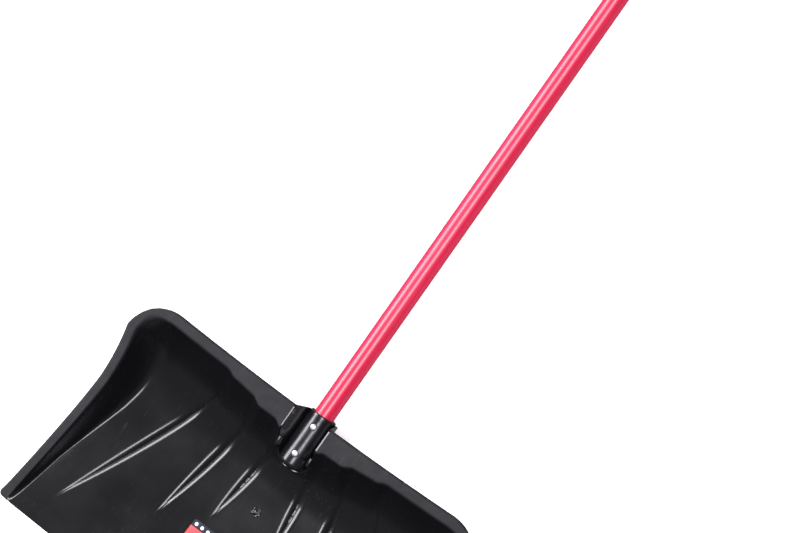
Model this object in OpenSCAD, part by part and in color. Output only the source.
// Snow shovel with a wide moulded scoop, a straight round shaft and a D-shaped hand grip.
// It lies on its back: +Z up, +Y along the shaft toward the grip, +X across the blade.
// The origin is on the floor, under the middle of the whole length.

/* [Blade] */
// How far the floor of the scoop runs from the rear edge to the digging edge
blade_length = 331; // [250:1:420]
// Half of the width at the narrowest place
waist_half_width = 262.5; // [180:0.5:330]
// How much wider each side is at the digging edge than at the waist
front_flare = 25.5; // [0:0.5:45]
// Thickness of the moulded sheet
wall = 3.2; // [2:0.1:5]
// Height of the rear rim above the shaft axis
rim_rise = 58; // [35:1:80]
// How far the lowest part of the scoop floor lies below the shaft axis
floor_drop = 14; // [6:0.5:20]
// Height of the digging edge above the shaft axis
edge_rise = 38; // [15:1:60]
// Radius of the two rear corners in plan
rear_corner = 58; // [30:1:80]

/* [Rim] */
// Width of the flat rim along the sides and the outer part of the rear
rim_width = 14; // [9:0.5:22]
// Extra rim width beside the socket
rim_extra = 21; // [0:1:30]
// How far the rolled outer lip turns down
lip_drop = 5; // [2:0.5:8]

/* [Flutes] */
// Depth of the long grooves pressed into the floor
flute_depth = 4.5; // [2:0.1:7]
// Half of the width of one groove
flute_half = 7; // [4:0.5:11]

/* [Socket] */
// Outside diameter of the socket tube
socket_od = 36; // [33:0.5:42]
// Length of the socket from its mouth to its rounded end
socket_length = 79; // [65:1:110]
// Half of the width of the slot around the socket
slot_half = 26; // [22:0.5:32]
// Distance from the mouth to the first bolt
bolt_first = 17.8; // [14:0.1:30]
// Distance between the two bolts
bolt_gap = 41; // [30:0.5:55]

/* [Shaft] */
// Outside diameter of the shaft
shaft_d = 28; // [24:0.5:34]
// Wall of the shaft tube
shaft_wall = 3; // [2:0.1:4.5]
// Depth of the shaft in the socket
shaft_in_socket = 70; // [50:1:90]

/* [Grip] */
// Distance from the socket mouth to the far side of the grip
grip_end = 960; // [700:5:1200]
// Outside diameter of the grip sleeve
sleeve_od = 38; // [35:0.5:42]
// Length of the grip sleeve
sleeve_length = 62; // [45:1:90]
// Diameter of the bar the hand closes on
bar_d = 28; // [24:0.5:36]
// Clear width of the hand opening
hand_width = 88; // [80:1:110]
// Clear height of the hand opening
hand_height = 52; // [40:1:70]

/* [Label] */
// Width of the label
label_width = 122; // [60:1:160]
// Height of the label along the floor
label_height = 77; // [40:1:90]

/* [Hidden] */
$fn = 64;

gap = 0.3;                 // clearance between pieces that slide together
edge_lean = 1.1;           // the underside of the sheet reaches this far past the digging edge
base_y = (blade_length + edge_lean - grip_end) / 2;   // the middle of the length is over the origin
lift = floor_drop + wall + flute_depth - 0.34;        // the lowest rib under the blade is at the floor
shaft_r = shaft_d / 2;
socket_r = socket_od / 2;
slot_end = socket_length + 1;      // the rounded end of the slot
slot_turn = slot_end - slot_half;  // where its sides start to turn in
foot = 122;                // where the rear wall has run out into the floor
flat_from = 115;           // where the floor starts to rise toward the digging edge
wall_power = 2.3;
side_power = 1.15;
floor_power = 1.6;
rear_flare = 22;           // how much wider each rear corner would be than the waist, if it were square
waist_at = 125;            // how far from the mouth the sides are narrowest
corner_at = 46;            // nearer the rear than this, the sides run straight back
flare_run = 205;
flare_power = 1.3;
rear_lean = 2.6;           // the rear edge lies this far in front of the mouth, and bows back outward
rear_bow = 3.5;
front_bow = 3.4e-5;
rim_crown = 2;             // the rim is higher by this in the middle, and lower by twice this at the sides
rim_fall_from = 40;        // where the side rims start to fall toward the digging edge
rim_fall_power = 0.9;
side_foot = 2;             // the side wall leans in by this much at the digging edge
side_lean = 38;            // and by this much more at the rear
side_run = 320;
side_fade = 1.9;
// Where the rim widens toward the socket: [share of the extra width, distance from the middle, over how far]
rim_steps = [[0.26, 128, 18], [0.14, 112, 40], [0.31, 80, 16], [0.29, 40, 14]];
lip_run = 3.5;
lip_power = 2.2;
bolt_d = 5;
head_d = 9.4;
head_flange = 0.9;
seat_play = 1;             // how much wider a head's seat is than the head
arm_d = 20;
sleeve_taper = arm_d + 4;  // from the end of the sleeve to the far side of the cross arm
sleeve_y = grip_end - bar_d - hand_height - sleeve_taper - sleeve_length;
bar_y = grip_end - bar_d / 2;
arm_x = hand_width / 2 + arm_d / 2;
cross_y = bar_y - bar_d / 2 - hand_height - arm_d / 2;
bend = 22;                 // radius of the arms' bend
core_r = shaft_r - shaft_wall;
grip_bolt_y = sleeve_y + 22;
shaft_top = sleeve_y + sleeve_length - 4;   // the end of the shaft inside the grip
lower_core_top = 8;        // the lower plug ends this far past the socket's mouth
upper_core_below = 18;     // and the upper one starts this far before the grip's bolt
bead_r = lift;             // the sleeve's bead reaches as low as the back of the blade
bead_length = 7;
head_seat = 17.2;          // flat seats for heads and nuts, above and below the shaft axis
nut_seat = 16.6;
nut_pocket = 11;
washer_t = 0.8;
washer_d = 10;
nut_t = 3.4;
nut_flats = 8;
far = 40;                  // past everything in that direction
head_rise = 2.2;
dome_r = (pow(head_d / 2, 2) + head_rise * head_rise) / (2 * head_rise);
label_top = 206;           // from the mouth to the near edge of the label
label_lift = 0.05;
label_sheet = 0.4;

function clamp(v, lo, hi) = min(hi, max(lo, v));
function ease(v) = let (t = clamp(v, 0, 1)) t * t * (3 - 2 * t);
function mix(a, b, t) = a + (b - a) * t;

// Plan outline: d runs from the socket mouth toward the digging edge
function half_width(d) = waist_half_width + rear_flare * pow(max(0, 1 - max(d, corner_at) / waist_at), 2)
    + front_flare * pow(max(0, d - waist_at) / flare_run, flare_power);
function rear_edge(x) = rear_lean - rear_bow * pow(x / 200, 2);
function front_edge(x) = blade_length - front_bow * x * x;
function total(v, i = 0) = i >= len(v) ? 0 : v[i] + total(v, i + 1);
function rear_rim(x) = rim_width
    + rim_extra * total([for (s = rim_steps) s[0] * ease((s[1] - abs(x)) / s[2])]);
function side_wall(d) = side_foot + side_lean * pow(max(0, 1 - d / side_run), side_fade);

// Heights above the shaft axis
function floor_height(d) = -floor_drop
    + (edge_rise + floor_drop) * pow(max(0, d - flat_from) / (blade_length - flat_from), floor_power);
function rim_height(x, d) = rim_rise + rim_crown - 2 * rim_crown * pow(x / 260, 2)
    - (rim_rise - rim_crown - edge_rise)
        * pow(clamp((d - rim_fall_from) / (blade_length - rim_fall_from), 0, 1), rim_fall_power);
function rear_part(a, w) = a <= w ? 1 : pow(max(0, 1 - (a - w) / (foot - w)), wall_power);
function side_part(b, w) = b <= rim_width ? 1 : pow(max(0, 1 - (b - rim_width) / w), side_power);

// Each groove is [x at the mouth line, slope, start, end]
flutes = [[22, 0.124, 62, 190], [66, 0.18, 56, 228], [104, 0.42, 48, 292]];
function flute_x(f, d) = f[0] + f[1] * d;
function lens(t) = t <= 0 || t >= 1 ? 0 : t < 0.38 ? sin(90 * t / 0.38) : pow(cos(90 * (t - 0.38) / 0.62), 1.2);
function groove(x, d) = flute_depth * max([for (f = flutes)
    let (t = (d - f[2]) / (f[3] - f[2]), u = (x - flute_x(f, d)) / flute_half)
    abs(u) < 1 ? lens(t) * (1 - u * u) : 0]);
function lip(e) = e >= lip_run ? 0 : lip_drop * pow(1 - e / lip_run, lip_power);

// Grid: rows run from the rear edge to the digging edge, columns from one side to the other
wall_rows = 9;
floor_rows = 13;
function row_at(i, w, len) = i <= 1 ? i * lip_run / 3 : i == 2 ? lip_run
    : i == 3 ? mix(lip_run, w, 0.5)
    : i <= 4 + wall_rows ? mix(w, foot, (i - 4) / wall_rows)
    : mix(foot, len, (i - 4 - wall_rows) / floor_rows);
rows = 5 + wall_rows + floor_rows;
function half_columns(d) = let (h = half_width(d), c = h - rim_width - side_wall(d), q = flute_half,
    xd = flute_x(flutes[0], d), xc = flute_x(flutes[1], d), xb = min(flute_x(flutes[2], d), c - 18))
    [for (k = [-1:0.5:1]) xd + k * q, (xd + xc) / 2, for (k = [-1:0.5:1]) xc + k * q,
     mix(xc + q, xb - q, 0.35), mix(xc + q, xb - q, 0.7), for (k = [-1:0.5:1]) xb + k * q,
     mix(xb + q, c, 0.35), mix(xb + q, c, 0.7),
     for (k = [0:3]) c + side_wall(d) * k / 4, h - rim_width, h - 8.5, h - lip_run, h - lip_run / 3, h];
half_count = len(half_columns(100));
function column_at(j, d) = let (s = j - half_count)
    s == 0 ? 0 : sign(s) * half_columns(d)[abs(s) - 1];
columns = 2 * half_count + 1;

// The rear corners: a square corner in (a, b) is drawn round by this map
function round_corner(a, b, r) = a >= r || b >= r ? [a, b]
    : let (p = (r - a) / r, q = (r - b) / r) [r - r * p * sqrt(1 - q * q / 2), r - r * q * sqrt(1 - p * p / 2)];

function surface_point(i, j) = let (
    guess = row_at(i, rim_width, blade_length),
    x0 = column_at(j, guess), a = row_at(i, rear_rim(x0), front_edge(x0) - rear_edge(x0)),
    d0 = rear_edge(x0) + a, h = half_width(guess), b = h - abs(x0),
    e = round_corner(a, b, rear_corner), x = sign(x0) * (h - e[1]), d = rear_edge(x0) + e[0],
    f = floor_height(d), w = rear_rim(x0), ww = side_wall(guess),
    up = 1 - (1 - rear_part(a, w)) * (1 - side_part(b, ww)),
    edge = min(a, b),
    n = mix(f, max(rim_height(x, d), f), up) - groove(abs(x0), d0) * (1 - up) - lip(edge))
    [x, -d, n];

grid = [for (i = [0:rows - 1]) [for (j = [0:columns - 1]) surface_point(i, j)]];
function unit(v) = v / norm(v);
function grid_normal(i, j) = unit(cross(
    grid[i][min(j + 1, columns - 1)] - grid[i][max(j - 1, 0)],
    grid[max(i - 1, 0)][j] - grid[min(i + 1, rows - 1)][j]));
under = [for (i = [0:rows - 1]) [for (j = [0:columns - 1]) grid[i][j] - wall * grid_normal(i, j)]];

function flat(g) = [for (r = g) for (p = r) p];
function quad_faces(a, b, c, d) = [[a, b, c], [a, c, d]];

module blade_shell() {
    n = rows * columns;
    function at(i, j) = i * columns + j;
    top = [for (i = [0:rows - 2]) for (j = [0:columns - 2])
        each quad_faces(at(i, j), at(i, j + 1), at(i + 1, j + 1), at(i + 1, j))];
    low = [for (i = [0:rows - 2]) for (j = [0:columns - 2])
        each quad_faces(n + at(i, j), n + at(i + 1, j), n + at(i + 1, j + 1), n + at(i, j + 1))];
    loop = [for (j = [0:columns - 1]) at(0, j), for (i = [1:rows - 1]) at(i, columns - 1),
            for (j = [columns - 2:-1:0]) at(rows - 1, j), for (i = [rows - 2:-1:1]) at(i, 0)];
    side = [for (k = [0:len(loop) - 1]) let (p = loop[k], q = loop[(k + 1) % len(loop)])
        each quad_faces(q, p, n + p, n + q)];
    polyhedron(points = concat(flat(grid), flat(under)), faces = concat(top, low, side));
}

module place() {
    translate([0, base_y, lift]) children();
}

// A rod along the shaft, from y1 to y2
module along(r, y1, y2) {
    translate([0, y2, 0]) rotate([90, 0, 0]) cylinder(r = r, h = y2 - y1);
}

module slot_plan(half, end) {
    translate([-half, -(end - half)]) square([2 * half, end - half + 20]);
    translate([0, -(end - half)]) circle(r = half);
}

// The solid under the middle of the sheet around the socket, where the slot's walls come from
module wall_stock() {
    r0 = 2;
    r1 = 4 + wall_rows;
    c0 = half_count - 6;
    c1 = half_count + 6;
    nr = r1 - r0 + 1;
    nc = c1 - c0 + 1;
    n = nr * nc;
    function at(i, j) = i * nc + j;
    top_points = [for (i = [r0:r1]) for (j = [c0:c1]) grid[i][j] - wall / 2 * grid_normal(i, j)];
    low_points = [for (p = top_points) [p.x, p.y, -far]];
    top = [for (i = [0:nr - 2]) for (j = [0:nc - 2])
        each quad_faces(at(i, j), at(i, j + 1), at(i + 1, j + 1), at(i + 1, j))];
    low = [for (i = [0:nr - 2]) for (j = [0:nc - 2])
        each quad_faces(n + at(i, j), n + at(i + 1, j), n + at(i + 1, j + 1), n + at(i, j + 1))];
    loop = [for (j = [0:nc - 1]) at(0, j), for (i = [1:nr - 1]) at(i, nc - 1),
            for (j = [nc - 2:-1:0]) at(nr - 1, j), for (i = [nr - 2:-1:1]) at(i, 0)];
    side = [for (k = [0:len(loop) - 1]) let (p = loop[k], q = loop[(k + 1) % len(loop)])
        each quad_faces(q, p, n + p, n + q)];
    polyhedron(points = concat(top_points, low_points), faces = concat(top, low, side));
}

// A round hole or rod up through the shaft, from z1 to z2, at y
module through(d, y, z1, z2) {
    translate([0, y, z1]) cylinder(d = d, h = z2 - z1);
}

bolt_ys = [-bolt_first, -bolt_first - bolt_gap];

module blade() {
    color([0.13, 0.13, 0.15]) place() difference() {
        union() {
            difference() {
                union() {
                    blade_shell();
                    intersection() {
                        wall_stock();
                        translate([0, 0, -wall]) linear_extrude(height = 110)
                            slot_plan(slot_half + wall, slot_end + wall);
                    }
                }
                linear_extrude(height = 110) slot_plan(slot_half, slot_end);
            }
            along(socket_r, -(socket_length - socket_r), 0);
            translate([0, -(socket_length - socket_r), 0]) sphere(r = socket_r);
        }
        along(shaft_r, -shaft_in_socket, 1);
        for (y = bolt_ys) {
            through(bolt_d + 2 * gap, y, -far, far);
            through(head_d + seat_play, y, head_seat, far);
            through(nut_pocket, y, -far, -nut_seat);
        }
    }
}

// A thin printed sheet that follows the curve of the floor
module blade_label() {
    steps = 10;
    ds = [for (k = [0:steps]) label_top + label_height * k / steps];
    outline = concat([for (d = ds) [-d, floor_height(d) + label_lift]],
                     [for (k = [steps:-1:0]) [-ds[k], floor_height(ds[k]) + label_lift + label_sheet]]);
    color([0.8, 0.1, 0.12]) place() translate([-label_width / 2, 0, 0])
        rotate([90, 0, 90]) linear_extrude(height = label_width) polygon(outline);
}

module shaft() {
    color([0.85, 0.05, 0.15]) place() difference() {
        along(shaft_r, -shaft_in_socket, shaft_top);
        along(core_r, -shaft_in_socket - 1, shaft_top + 1);
        for (y = concat(bolt_ys, [grip_bolt_y])) through(bolt_d + 2 * gap, y, -far, far);
    }
}

// Solid plugs that keep the bolts from crushing the tube
module core(y1, y2, holes) {
    difference() {
        along(core_r, y1, y2);
        for (y = holes) through(bolt_d + 2 * gap, y, -far, far);
    }
}

module lower_core() {
    color([0.75, 0.6, 0.4]) place() core(-shaft_in_socket, lower_core_top, bolt_ys);
}

module upper_core() {
    color([0.75, 0.6, 0.4]) place() core(grip_bolt_y - upper_core_below, shaft_top, [grip_bolt_y]);
}

module rod_x(r, x1, x2, y) {
    translate([x1, y, 0]) rotate([0, 90, 0]) cylinder(r = r, h = x2 - x1);
}

module d_grip() {
    r = arm_d / 2;
    color([0.12, 0.12, 0.13]) place() difference() {
        union() {
            along(sleeve_od / 2, sleeve_y, sleeve_y + sleeve_length);
            along(bead_r, sleeve_y, sleeve_y + bead_length);
            translate([0, sleeve_y + sleeve_length, 0]) rotate([-90, 0, 0])
                cylinder(r1 = sleeve_od / 2, r2 = r, h = cross_y - sleeve_y - sleeve_length + 4);
            rod_x(r, -arm_x + bend, arm_x - bend, cross_y);
            for (s = [0, 1]) mirror([s, 0, 0]) {
                translate([arm_x - bend, cross_y + bend, 0]) rotate([0, 0, -90])
                    rotate_extrude(angle = 90) translate([bend, 0]) circle(r = r);
                translate([arm_x, 0, 0]) along(r, cross_y + bend, bar_y);
                translate([arm_x, bar_y, 0]) sphere(d = bar_d);
            }
            rod_x(bar_d / 2, -arm_x, arm_x, bar_y);
        }
        along(shaft_r, sleeve_y - 1, shaft_top);
        through(bolt_d + 2 * gap, grip_bolt_y, -far, far);
        through(head_d + seat_play, grip_bolt_y, head_seat, far);
        through(nut_pocket, grip_bolt_y, -far, -nut_seat);
    }
}

// One bolt with a low domed head; its shank ends level with its nut
module bolt(y) {
    translate([0, y, 0]) {
        through(bolt_d, 0, -nut_seat - washer_t - nut_t, head_seat + head_flange);
        through(head_d, 0, head_seat, head_seat + head_flange);
        translate([0, 0, head_seat + head_flange]) intersection() {
            translate([0, 0, head_rise - dome_r]) sphere(r = dome_r);
            cylinder(d = head_d, h = head_rise);
        }
    }
}

module washer(y) {
    translate([0, y, -nut_seat - washer_t]) difference() {
        cylinder(d = washer_d, h = washer_t);
        translate([0, 0, -1]) cylinder(d = bolt_d + 2 * gap, h = washer_t + 2);
    }
}

module nut(y) {
    translate([0, y, -nut_seat - washer_t - nut_t]) difference() {
        cylinder(d = nut_flats / cos(30), h = nut_t, $fn = 6);
        translate([0, 0, -1]) cylinder(d = bolt_d, h = nut_t + 2);
    }
}

module socket_bolts() {
    color([0.8, 0.8, 0.82]) place() for (y = bolt_ys) bolt(y);
}

module socket_washers() {
    color([0.75, 0.75, 0.77]) place() for (y = bolt_ys) washer(y);
}

module socket_nuts() {
    color([0.7, 0.7, 0.72]) place() for (y = bolt_ys) nut(y);
}

module grip_bolt() {
    color([0.8, 0.8, 0.82]) place() bolt(grip_bolt_y);
}

module grip_washer() {
    color([0.75, 0.75, 0.77]) place() washer(grip_bolt_y);
}

module grip_nut() {
    color([0.7, 0.7, 0.72]) place() nut(grip_bolt_y);
}

blade();
blade_label();
shaft();
lower_core();
upper_core();
d_grip();
socket_bolts();
socket_washers();
socket_nuts();
grip_bolt();
grip_washer();
grip_nut();
